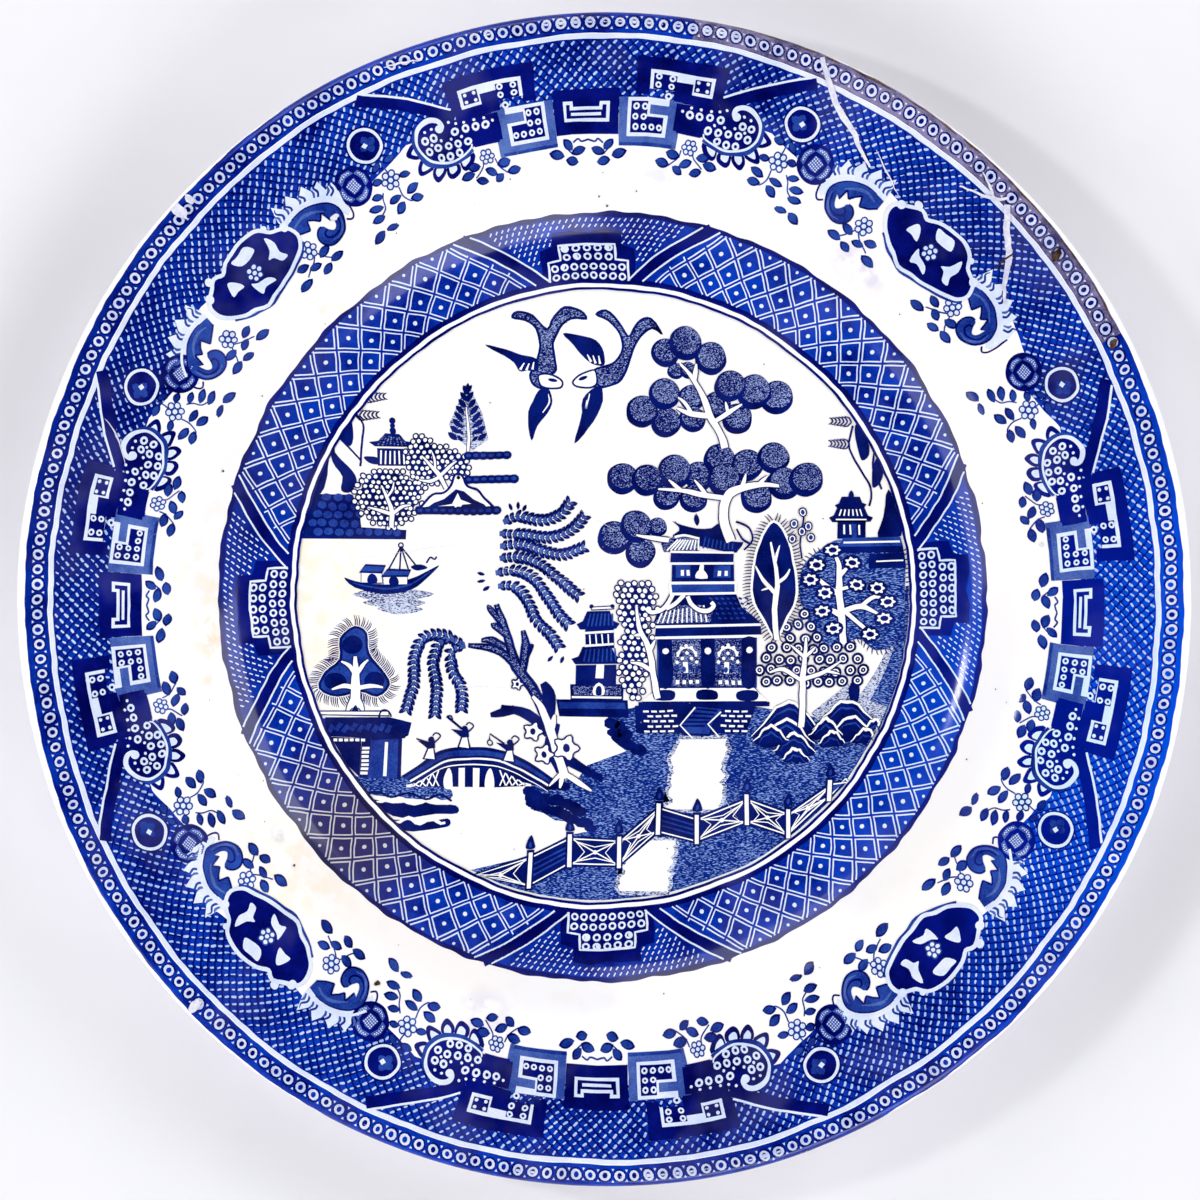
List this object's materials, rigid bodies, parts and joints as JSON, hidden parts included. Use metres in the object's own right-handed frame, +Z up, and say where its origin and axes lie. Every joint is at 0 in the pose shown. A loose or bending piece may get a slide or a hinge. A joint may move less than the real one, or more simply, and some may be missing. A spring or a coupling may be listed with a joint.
{
  "type": "dinner plate",
  "caption": "Round china dinner plate with a wide sloping rim, a shallow well, a foot ring and a blue printed chinoiserie pattern under clear glaze.",
  "frame": {"origin": "on the plate's axis, at the plane that the foot ring stands on", "axes": "+Z up along the plate's axis, +Y towards the top of the printed scene, +X to its right"},
  "size_m": [0.26, 0.26, 0.0237],
  "materials": {
    "biscuit": "matte",
    "clear_glaze": "gloss",
    "border_blue": "gloss",
    "scene_blue": "gloss"
  },
  "bodies": {
    "root": {"body": "biscuit", "front_glaze": "clear_glaze", "base_glaze": "clear_glaze", "centre_scene_print": "scene_blue", "well_band_print": "border_blue", "rim_border_print_1": "border_blue", "rim_border_print_2": "border_blue", "rim_border_print_3": "border_blue", "rim_border_print_4": "border_blue", "bead_edge_print": "border_blue"}
  },
  "joints": []
}
